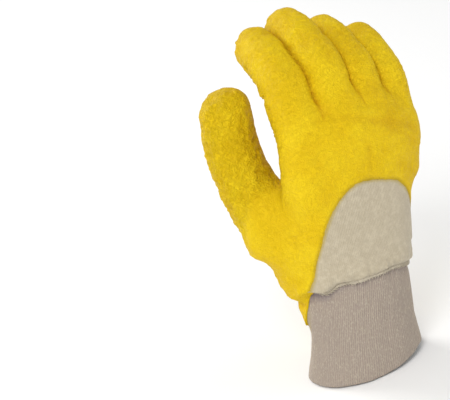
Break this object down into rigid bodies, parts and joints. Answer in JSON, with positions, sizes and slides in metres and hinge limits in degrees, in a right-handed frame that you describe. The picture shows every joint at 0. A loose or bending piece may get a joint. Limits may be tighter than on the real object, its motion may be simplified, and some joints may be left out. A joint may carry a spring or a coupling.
{
  "type": "latex coated work glove",
  "caption": "Right-hand cotton work glove with a yellow latex grip coating, a bare jersey back and a ribbed knit cuff, keeping the shape of a relaxed hand.",
  "frame": {"origin": "centre of the cuff's mouth, in the plane of its hem, where the wrist goes in", "axes": "+Z from the cuff's mouth towards the fingers, +Y out of the palm, -X towards the thumb, so the back of the hand faces -Y"},
  "size_m": [0.1336, 0.0926, 0.2319],
  "materials": {
    "latex": "crinkled natural rubber latex, satin, yellow",
    "jersey": "brushed cotton jersey, matt, cream",
    "rib_knit": "one by one rib knit, matt, grey and cream mixed yarn"
  },
  "bodies": {
    "root": {"latex_coat": "latex", "jersey_back": "jersey", "rib_cuff": "rib_knit"}
  },
  "joints": []
}
